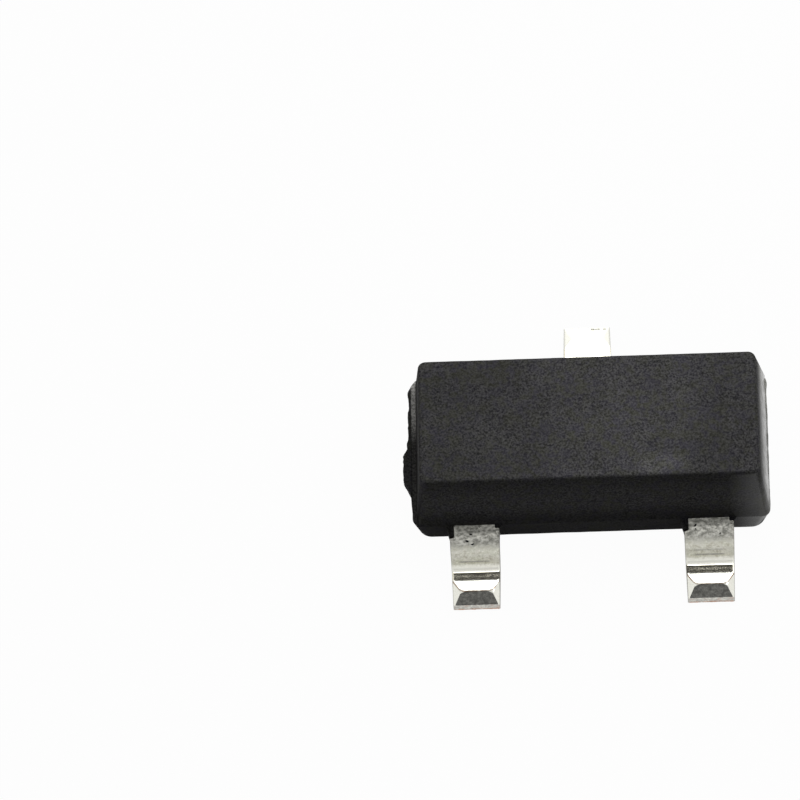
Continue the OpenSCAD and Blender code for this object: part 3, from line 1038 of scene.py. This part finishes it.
def parting_flash_tree(material):
    """Thin torn fin that stands out from a line, as far as the line's points say."""
    tree, sizes = new_shape_tree("parting_flash", ("Root", "Thickness", "Tear Scale", "Sag", "Seed"))
    tears = tree_noise(tree, sizes["Tear Scale"], sizes["Seed"], detail=2.0, roughness=0.5)
    torn = product(tree, named_value(tree, "reach"), between(tree, tears, *FLASH_LUMPS))
    far = maths(tree, "ADD", torn, sizes["Root"])
    outwards = scaled(tree, named_value(tree, "way", "FLOAT_VECTOR"), far)
    band = node(tree, "GeometryNodeExtrudeMesh", {
        "Mesh": sizes["Shape"], "Offset": outwards, "Offset Scale": 1.0,
    }, mode="EDGES")
    droop = product(tree, maths(tree, "SUBTRACT", tears, 0.5), sizes["Sag"])
    bent = node(tree, "GeometryNodeSetPosition", {
        "Geometry": band.outputs["Mesh"], "Selection": band.outputs["Top"],
        "Offset": vector_of(tree, Z=droop),
    }).outputs[0]
    down = vector_of(tree, Z=product(tree, sizes["Thickness"], -1.0))
    plate = node(tree, "GeometryNodeExtrudeMesh", {
        "Mesh": bent, "Offset": down, "Offset Scale": 1.0, "Individual": False,
    }, mode="FACES")
    closed = node(tree, "GeometryNodeJoinGeometry", {0: plate.outputs["Mesh"]})
    connect(tree, closed, 0, bent)
    end_shape_tree(tree, closed.outputs[0], material)
    return tree


def make_parting_flash(material):
    """Torn flash round both ends of the body."""
    tree = parting_flash_tree(material)
    for side_name, side, stops in (("right", 1, FLASH_RIGHT), ("left", -1, FLASH_LEFT)):
        name = "parting_flash_" + side_name
        mesh = grown(name, flash_line(side, stops), tree, {**FLASH_SIZES, "Seed": FLASH_SEED + side})
        face_outwards(mesh)
        finish_piece(name, mesh, SHEET_SHARP, "mould_compound")


# Leads

BEND_MID_R = BEND_R + LEAD_T / 2
RAMP_DROP = Z_PART - LEAD_T
RAMP_RUN = (RAMP_DROP - 2 * BEND_MID_R * (1 - math.cos(RAMP_ANGLE))) / math.sin(RAMP_ANGLE)
HEEL_Y = SHOULDER_Y + 2 * BEND_MID_R * math.sin(RAMP_ANGLE) + RAMP_RUN * math.cos(RAMP_ANGLE)
TOE_SLOPE = TOE_RISE / (FRONT_TIP_Y - BEVEL_LEN - HEEL_Y)
BEVEL_SPREAD = BEVEL_LOW_HALF_W - BEVEL_TOP_HALF_W
CORNER_RUN = BEVEL_SPREAD * math.sin(BEVEL_TURN) + BEVEL_LEN * math.cos(BEVEL_TURN)
LEAD_STEP = 0.006 * MM
LEAD_EDGE_STEPS = 4
SECTION_POINTS = 150
HAIR = 0.001 * MM
LEAD_SIZES = {
    "Thickness": LEAD_T,
    "Edge Radius": LEAD_EDGE_R,
    "Heel Y": HEEL_Y,
    "Toe Slope": TOE_SLOPE,
    "Bevel Slope": BEVEL_DROP / BEVEL_LEN,
    "Bevel Half Width": BEVEL_TOP_HALF_W,
    "Corner Slope": BEVEL_DROP / CORNER_RUN,
    "Rounding": BEVEL_ROUNDING,
    "Blend": BEVEL_BLEND,
}


def strip_path(in_y, tip_y):
    """Middle line of a formed lead in its own YZ plane, from its inner end to its tip."""
    middle_z = Z_PART - LEAD_T / 2
    stops = [in_y, in_y + FRAME_CHAMFER, FRAME_OUT_Y - FRAME_CHAMFER]
    stops += [FRAME_OUT_Y - HAIR, FRAME_OUT_Y + HAIR, HALF_W - CORNER_R]
    path = [(y, middle_z) for y in stops]

    def straight(y, z):
        """Flat stretch to a place."""
        y0, z0 = path[-1]
        count = max(2, round(math.hypot(y - y0, z - z0) / LEAD_STEP))
        path.extend((y0 + (y - y0) * k / count, z0 + (z - z0) * k / count) for k in range(1, count + 1))

    def bend(y, z, first, turn):
        """Bend about a middle, from one angle on."""
        count = max(8, round(BEND_MID_R * RAMP_ANGLE / LEAD_STEP))
        for k in range(1, count + 1):
            a = first + turn * k / count
            path.append((y + BEND_MID_R * math.cos(a), z + BEND_MID_R * math.sin(a)))

    straight(SHOULDER_Y, middle_z)
    bend(SHOULDER_Y, middle_z - BEND_MID_R, RIGHT_ANGLE, -RAMP_ANGLE)
    y, z = path[-1]
    straight(y + RAMP_RUN * math.cos(RAMP_ANGLE), z - RAMP_RUN * math.sin(RAMP_ANGLE))
    bend(HEEL_Y, LEAD_T / 2 + BEND_MID_R, 3 * RIGHT_ANGLE - RAMP_ANGLE, RAMP_ANGLE)
    straight(tip_y, LEAD_T / 2)
    return path


def strip_half_width(y, in_y, tip_y, wide_half, sheared_y):
    """Half of the width that the punched lead has at a distance from the middle of the body, with the
    dam bar sheared off at sheared_y."""
    if y < FRAME_OUT_Y:
        corner = max(FRAME_CHAMFER - (y - in_y), FRAME_CHAMFER - (FRAME_OUT_Y - y), 0.0)
        return wide_half - corner
    if y < sheared_y:
        return ROOT_HALF_W
    share = (y - DAM_Y) / (tip_y - DAM_Y)
    return DAM_HALF_W + (TIP_HALF_W - DAM_HALF_W) * share


def lead_seed(in_y, tip_y, wide_half, far_dam_y):
    """Line of the strip, whose points carry the width of the lead to both sides and the way left to its
    tip in millimetres."""
    path = strip_path(in_y, tip_y)
    left = [0.0]
    for (y0, z0), (y1, z1) in zip(path[::-1], path[-2::-1]):
        left.append(left[-1] + math.hypot(y1 - y0, z1 - z0) / MM)
    near = [strip_half_width(y, in_y, tip_y, wide_half, DAM_Y) for y, z in path]
    far = [strip_half_width(y, in_y, tip_y, wide_half, far_dam_y) for y, z in path]
    line = [(0.0, y, z) for y, z in path]
    return line_mesh("lead_seed", line, half_width=near, far_half_width=far, from_tip=left[::-1])


def plain_strip(tree, sizes):
    """Strip with rounded edges along a line, all of one width."""
    line = node(tree, "GeometryNodeMeshToCurve", {"Mesh": sizes["Shape"]})
    blank = node(tree, "GeometryNodeCurvePrimitiveQuadrilateral", {
        "Width": 2 * TIP_HALF_W, "Height": sizes["Thickness"],
    })
    eased = node(tree, "GeometryNodeFilletCurve", {
        "Curve": blank.outputs[0], "Count": LEAD_EDGE_STEPS, "Radius": sizes["Edge Radius"],
    }, mode="POLY")
    section = node(tree, "GeometryNodeResampleCurve", {
        "Curve": eased.outputs[0], "Count": SECTION_POINTS,
    }, mode="COUNT")
    return node(tree, "GeometryNodeCurveToMesh", {
        "Curve": line.outputs[0], "Profile Curve": section.outputs[0], "Fill Caps": True,
    }).outputs[0]


def bevel_fall(tree, sizes, x, y):
    """How far the upper face is pressed down by the front bevel of a tip and its two turned corners."""
    past = maths(tree, "SUBTRACT", y, sizes["Bevel Y"])
    front = product(tree, past, sizes["Bevel Slope"])
    beside = maths(tree, "SUBTRACT", maths(tree, "ABSOLUTE", x), sizes["Bevel Half Width"])
    slant = sum_of(tree, 0.0, (beside, math.sin(BEVEL_TURN)), (past, math.cos(BEVEL_TURN)))
    corner = product(tree, slant, sizes["Corner Slope"])
    fade = product(tree, sizes["Rounding"], BEVEL_FADE)
    deepest = maths(tree, "MAXIMUM", front, corner)
    rounding = between(tree, deepest, 0.0, fade, sizes["Rounding"], sizes["Blend"])
    rounded = maths(tree, "SMOOTH_MAX", front, corner, rounding)
    return maths(tree, "SMOOTH_MAX", rounded, 0.0, sizes["Blend"])


def lead_tree(material):
    """Strip of one thickness along a line, as wide as the line's points say, with a bevelled tip."""
    tree, sizes = new_shape_tree("formed_lead", (*LEAD_SIZES, "Bevel Y"))
    strip_x, y, strip_z = point_axes(tree)
    far_side = maths(tree, "LESS_THAN", strip_x, 0.0)
    near_half = named_value(tree, "half_width")
    half_width = blended(tree, far_side, near_half, named_value(tree, "far_half_width"))
    x = product(tree, strip_x, maths(tree, "DIVIDE", half_width, TIP_HALF_W))
    past_heel = maths(tree, "MAXIMUM", maths(tree, "SUBTRACT", y, sizes["Heel Y"]), 0.0)
    on_foot = maths(tree, "GREATER_THAN", past_heel, 0.0)
    fall = product(tree, bevel_fall(tree, sizes, x, y), on_foot)
    rise = product(tree, past_heel, sizes["Toe Slope"])
    change = maths(tree, "DIVIDE", maths(tree, "SUBTRACT", rise, fall), sizes["Thickness"])
    z = product(tree, strip_z, maths(tree, "ADD", change, 1.0))
    strip_share = maths(tree, "DIVIDE", maths(tree, "ABSOLUTE", strip_x), TIP_HALF_W)
    shape = plain_strip(tree, sizes)
    shape = stored(tree, shape, "pressed", maths(tree, "DIVIDE", fall, MM))
    shape = stored(tree, shape, "aside", strip_share)
    formed = node(tree, "GeometryNodeSetPosition", {
        "Geometry": shape, "Position": vector_of(tree, X=x, Y=y, Z=z),
    })
    end_shape_tree(tree, formed.outputs[0], material)
    return tree


def make_leads(material):
    """The three leads, and their meshes by name."""
    tree = lead_tree(material)
    meshes = {}
    for lead_name, (lead_x, turn, tip_y) in LEAD_PLACES.items():
        low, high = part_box(lead_name)
        wide_half = (high.x - low.x) / 2
        in_y = low.y if turn == 0.0 else -high.y
        seed = lead_seed(in_y, tip_y, wide_half, dam_y(turn, -1))
        mesh = grown(lead_name + "_fine", seed, tree, {**LEAD_SIZES, "Bevel Y": tip_y - BEVEL_LEN})
        face_outwards(mesh)
        sideways = [v.co.x / MM for v in mesh.vertices]
        mesh.attributes.new("across", "FLOAT", "POINT").data.foreach_set("value", sideways)
        mesh.transform(lead_frame(lead_x, turn))
        finish_piece(lead_name + "_fine", mesh, SHEET_SHARP, "tinned_lead", lead_name)
        meshes[lead_name] = mesh
    return meshes


# Crumbs of resin on the leads
CRUMB_SIZES = {
    "Near": HALF_W,
    "Far": HALF_W + 0.16 * MM,
    "Density": 75 / MM ** 2,
    "Smallest": 0.0035 * MM,
    "Largest": 0.01 * MM,
}
CRUMB_SEED = 11.0
CRUMB_LEAST_UP = 0.6
CRUMB_SPIN = (0.3, 0.3, 2 * math.pi)
CRUMB_SHAPE = (1.6, 1.0, 0.3)


def resin_specks_tree(material):
    """Crumbs of resin on the upper face of a lead, between two distances from the body's middle."""
    tree, sizes = new_shape_tree("resin_specks", (*CRUMB_SIZES, "Seed"))
    _, y, _ = point_axes(tree)
    _, _, faces_up = axes_of(tree, node(tree, "GeometryNodeInputNormal").outputs[0])
    reach = maths(tree, "ABSOLUTE", y)
    beyond = maths(tree, "GREATER_THAN", reach, sizes["Near"])
    within = maths(tree, "LESS_THAN", reach, sizes["Far"])
    chosen = product(tree, beyond, within, maths(tree, "GREATER_THAN", faces_up, CRUMB_LEAST_UP))
    scattered = node(tree, "GeometryNodeDistributePointsOnFaces", {
        "Mesh": sizes["Shape"], "Selection": chosen, "Density": sizes["Density"], "Seed": sizes["Seed"],
    }, distribute_method="RANDOM")
    crumb = node(tree, "GeometryNodeMeshIcoSphere", {"Radius": 1.0, "Subdivisions": 2})
    size = node(tree, "FunctionNodeRandomValue", {
        2: sizes["Smallest"], 3: sizes["Largest"], "Seed": sizes["Seed"],
    }, data_type="FLOAT")
    spin = node(tree, "FunctionNodeRandomValue", {
        1: CRUMB_SPIN, "Seed": sizes["Seed"],
    }, data_type="FLOAT_VECTOR")
    crumbs = node(tree, "GeometryNodeInstanceOnPoints", {
        "Points": scattered.outputs["Points"], "Instance": crumb.outputs["Mesh"],
        "Rotation": spin.outputs[0], "Scale": scaled(tree, CRUMB_SHAPE, size.outputs[1]),
    })
    end_shape_tree(tree, crumbs.outputs[0], material)
    return tree


def make_resin_specks(material, lead_meshes):
    """Crumbs of resin on each lead beside the body."""
    tree = resin_specks_tree(material)
    meshes = []
    for k, lead_mesh in enumerate(lead_meshes.values()):
        sizes = {**CRUMB_SIZES, "Seed": CRUMB_SEED + k}
        meshes.append(grown("resin_specks", lead_mesh.copy(), tree, sizes))
    mesh = joined_mesh("resin_specks", meshes, material)
    finish_piece("resin_specks", mesh, CRUMB_SHARP, "mould_compound")


# Ragged beads at the tips
BEAD_R = 0.009 * MM
BEAD_STEPS = 48
BEAD_SIDES = 10
BEAD_TEAR_SCALE = 22 / MM
BEAD_RAGGED = (0.3, 0.7, 0.35, 1.0)
BEAD_SEED = 5.0
BURR_SUNK = BEAD_R / 3

# Smears of tin near the rear tip: where each starts and ends across the lead, in millimetres
REAR_SMEARS = ((0.034, 0.11), (0.135, 0.16))
SMEAR_BACK = 0.018 * MM


def tip_burr_tree(material):
    """Ragged bead along a line."""
    tree, sizes = new_shape_tree("tip_burr", ("Radius", "Tear Scale", "Seed"))
    line = node(tree, "GeometryNodeMeshToCurve", {"Mesh": sizes["Shape"]})
    ragged = between(tree, tree_noise(tree, sizes["Tear Scale"], sizes["Seed"]), *BEAD_RAGGED)
    section = node(tree, "GeometryNodeCurvePrimitiveCircle", {"Resolution": BEAD_SIDES, "Radius": 1.0})
    bead = node(tree, "GeometryNodeCurveToMesh", {
        "Curve": line.outputs[0], "Profile Curve": section.outputs[0], "Fill Caps": True,
        "Scale": product(tree, ragged, sizes["Radius"]),
    })
    end_shape_tree(tree, bead.outputs[0], material)
    return tree


def make_beads(name, material, lines):
    """Ragged beads across the leads: each with its lead, ends across it, place along it and height."""
    tree = tip_burr_tree(material)
    meshes = []
    for k, (lead_name, first, last, y, z) in enumerate(lines):
        lead_x, turn, _ = LEAD_PLACES[lead_name]
        line = [(first + (last - first) * i / BEAD_STEPS, y, z) for i in range(BEAD_STEPS + 1)]
        sizes = {"Radius": BEAD_R, "Tear Scale": BEAD_TEAR_SCALE, "Seed": BEAD_SEED + k}
        mesh = grown("tip_burr", line_mesh("tip_line", line), tree, sizes)
        mesh.transform(lead_frame(lead_x, turn))
        meshes.append(mesh)
    mesh = joined_mesh(name, meshes, material)
    face_outwards(mesh)
    finish_piece(name, mesh, CRUMB_SHARP, "tinned_lead")


def make_tip_burrs(material):
    """Copper alloy that the cutting tool dragged along the lower edge of each tip."""
    span = TIP_HALF_W - BEAD_R
    lines = []
    for lead_name, (_, _, tip_y) in LEAD_PLACES.items():
        lines.append((lead_name, -span, span, tip_y - BURR_SUNK, BEAD_R))
    make_beads("tip_burrs", material, lines)


def make_rear_smears(material):
    """Dull tin that the cutting tool smeared on the bevel of the rear tip."""
    y = REAR_TIP_Y - SMEAR_BACK
    z = LEAD_T + TOE_SLOPE * (y - HEEL_Y) - BEVEL_DROP * (1 - SMEAR_BACK / BEVEL_LEN)
    lines = [("collector_lead", first * MM, last * MM, y, z) for first, last in REAR_SMEARS]
    make_beads("rear_smears", material, lines)


# Finishes of single metals: darker and lighter colour, least roughness, and features to the millimetre
BOND_GOLD = ((0.78, 0.56, 0.2, 1), (0.88, 0.68, 0.3, 1), 0.15, 40)
ATTACH_GOLD = ((0.6, 0.46, 0.2, 1), (0.74, 0.6, 0.32, 1), 0.35, 25)
BARE_ALLOY = ((0.36, 0.22, 0.15, 1), (0.62, 0.42, 0.33, 1), 0.3, 60)
DULL_TIN = ((0.4, 0.4, 0.35, 1), (0.56, 0.56, 0.5, 1), 0.35, 60)


def dress_inner_parts():
    """Finishes of the chip, its layer and its wires, which the body hides."""
    gold_wire = simple_metal("bond_gold", *BOND_GOLD)
    gold_layer = simple_metal("attach_gold", *ATTACH_GOLD)
    finishes = {
        "die": silicon(),
        "die_attach": gold_layer,
        "base_wire": gold_wire,
        "emitter_wire": gold_wire,
    }
    for node_name, material in finishes.items():
        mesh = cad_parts[node_name].data
        mesh.materials.clear()
        mesh.materials.append(material)


# Camera, floor and light

CAMERA_AZIMUTH = math.radians(5.354)
CAMERA_ELEVATION = math.radians(63.074)
CAMERA_ROLL = math.radians(6.653)
CAMERA_AIM = Vector((0, 0, 0.475)) * MM
CAMERA_DISTANCE = 50.74 * MM
CAMERA_PAN = Vector((-1.5378, 0.3555)) * MM
CAMERA_LENS = 280.8
CAMERA_SENSOR = 36.0
CAMERA_NEAR = 1 * MM
CAMERA_FAR = 1000 * MM

WHITE = (1, 1, 1, 1)
FLOOR_GREY = (0.55, 0.55, 0.55, 1)
FLOOR_REACH = 400 * MM
FLOOR_SEEN = 0.97
FLOOR_MIRRORED = 0.75

# Surroundings, in degrees: leans from the zenith, to the front if negative, and angles from them
CAMERA_LEAN = -21.0
CAMERA_SHADE_EDGE = (12, 8)
CAMERA_SHADE = (0.07, 0.07, 0.072, 1)
SKY_LEAN = 30.0
SKY_BAND = (-0.3, 1.0, 0.2, 0.7)
GLOW_LEAN = 80.0
GLOW_EDGE = (46, 28)
GLOW_STRENGTH = (1.1, 1.6)

KEY_WAY = (0.22, 0.44, 0.87)
KEY_DISTANCE = 14 * MM
KEY_SIDE = 11 * MM
KEY_RADIANCE = 3.0


def make_camera():
    """Long lens that looks down at the front of the part, at the height and lean of the photograph."""
    data = bpy.data.cameras.new("camera")
    data.lens = CAMERA_LENS
    data.sensor_width = CAMERA_SENSOR
    data.clip_start = CAMERA_NEAR
    data.clip_end = CAMERA_FAR
    az, el, roll = CAMERA_AZIMUTH, CAMERA_ELEVATION, CAMERA_ROLL
    back = Vector((math.cos(el) * math.sin(az), -math.cos(el) * math.cos(az), math.sin(el)))
    level_right = Vector((math.cos(az), math.sin(az), 0))
    level_up = back.cross(level_right)
    right = math.cos(roll) * level_right - math.sin(roll) * level_up
    up = math.sin(roll) * level_right + math.cos(roll) * level_up
    eye = CAMERA_AIM + back * CAMERA_DISTANCE + right * CAMERA_PAN.x + up * CAMERA_PAN.y
    camera = new_object("camera", data)
    camera.matrix_world = Matrix.Translation(eye) @ Matrix((right, up, back)).transposed().to_4x4()
    bpy.context.scene.camera = camera


def pale_seen(tree, camera_share, glossy_share):
    """Share of plain white that a ray sees, by the kind of ray."""
    ray = node(tree, "ShaderNodeLightPath").outputs
    shiny = maths(tree, "MAXIMUM", ray["Is Glossy Ray"], ray["Is Transmission Ray"])
    direct = product(tree, ray["Is Camera Ray"], camera_share)
    return maths(tree, "MAXIMUM", direct, product(tree, shiny, glossy_share))


def make_floor():
    """Pale floor that looks white and keeps the part's shadow."""
    material = bpy.data.materials.new("pale_floor")
    material.use_nodes = True
    tree = material.node_tree
    tree.nodes.clear()
    matt = node(tree, "ShaderNodeBsdfDiffuse", {"Color": FLOOR_GREY})
    white = node(tree, "ShaderNodeEmission", {"Color": WHITE, "Strength": 1.0})
    seen = node(tree, "ShaderNodeMixShader", {
        0: pale_seen(tree, FLOOR_SEEN, FLOOR_MIRRORED), 1: matt.outputs[0], 2: white.outputs[0],
    })
    node(tree, "ShaderNodeOutputMaterial", {"Surface": seen.outputs[0]})
    far = FLOOR_REACH
    corners = [(-far, -far, 0), (far, -far, 0), (far, far, 0), (-far, far, 0)]
    mesh = plain_mesh("floor", corners, [(0, 1, 2, 3)])
    mesh.materials.append(material)
    new_object("floor", mesh)


def along_way(tree, way, lean):
    """Cosine of the angle between a direction and one that leans from the zenith."""
    axis = (0.0, math.sin(math.radians(lean)), math.cos(math.radians(lean)))
    return node(tree, "ShaderNodeVectorMath", {0: way, 1: axis}, operation="DOT_PRODUCT").outputs["Value"]


def cosines(angles):
    """Cosines of angles in degrees."""
    return [math.cos(math.radians(angle)) for angle in angles]


def make_world():
    """Soft white surroundings, dimmer in front, with a dark stretch where the camera stands."""
    world = bpy.data.worlds.new("surroundings")
    bpy.context.scene.world = world
    world.use_nodes = True
    tree = world.node_tree
    tree.nodes.clear()
    way = node(tree, "ShaderNodeTexCoord").outputs["Generated"]
    dim = between(tree, along_way(tree, way, CAMERA_LEAN), *cosines(CAMERA_SHADE_EDGE))
    shade = mixed(tree, dim, WHITE, CAMERA_SHADE)
    ray = node(tree, "ShaderNodeLightPath").outputs
    colour = mixed(tree, ray["Is Camera Ray"], shade, WHITE)
    lit = between(tree, along_way(tree, way, SKY_LEAN), *SKY_BAND, smooth=False)
    glow = between(tree, along_way(tree, way, GLOW_LEAN), *cosines(GLOW_EDGE), *GLOW_STRENGTH)
    strength = maths(tree, "MAXIMUM", lit, pale_seen(tree, 1.0, glow))
    surroundings = node(tree, "ShaderNodeBackground", {"Color": colour, "Strength": strength})
    node(tree, "ShaderNodeOutputWorld", {"Surface": surroundings.outputs[0]})


def make_softbox(name, way, far, side, radiance):
    """Square soft light that shines on the part from one direction."""
    data = bpy.data.lights.new(name, "AREA")
    data.shape = "SQUARE"
    data.size = side
    data.energy = radiance * math.pi * side * side
    light = new_object(name, data)
    way = Vector(way).normalized()
    light.location = way * far
    light.rotation_mode = "QUATERNION"
    light.rotation_quaternion = way.to_track_quat("Z", "Y")
    light.visible_camera = False


make_camera()
make_world()
make_floor()
make_softbox("key_softbox", KEY_WAY, KEY_DISTANCE, KEY_SIDE, KEY_RADIANCE)
bpy.context.scene.view_settings.view_transform = "Standard"

COMPOUND = mould_compound()
make_mould_body(COMPOUND)
make_parting_flash(COMPOUND)
LEAD_MESHES = make_leads(tin_plate())
make_resin_specks(COMPOUND, LEAD_MESHES)
make_tip_burrs(simple_metal("bare_alloy", *BARE_ALLOY))
make_rear_smears(simple_metal("dull_tin", *DULL_TIN))
dress_inner_parts()
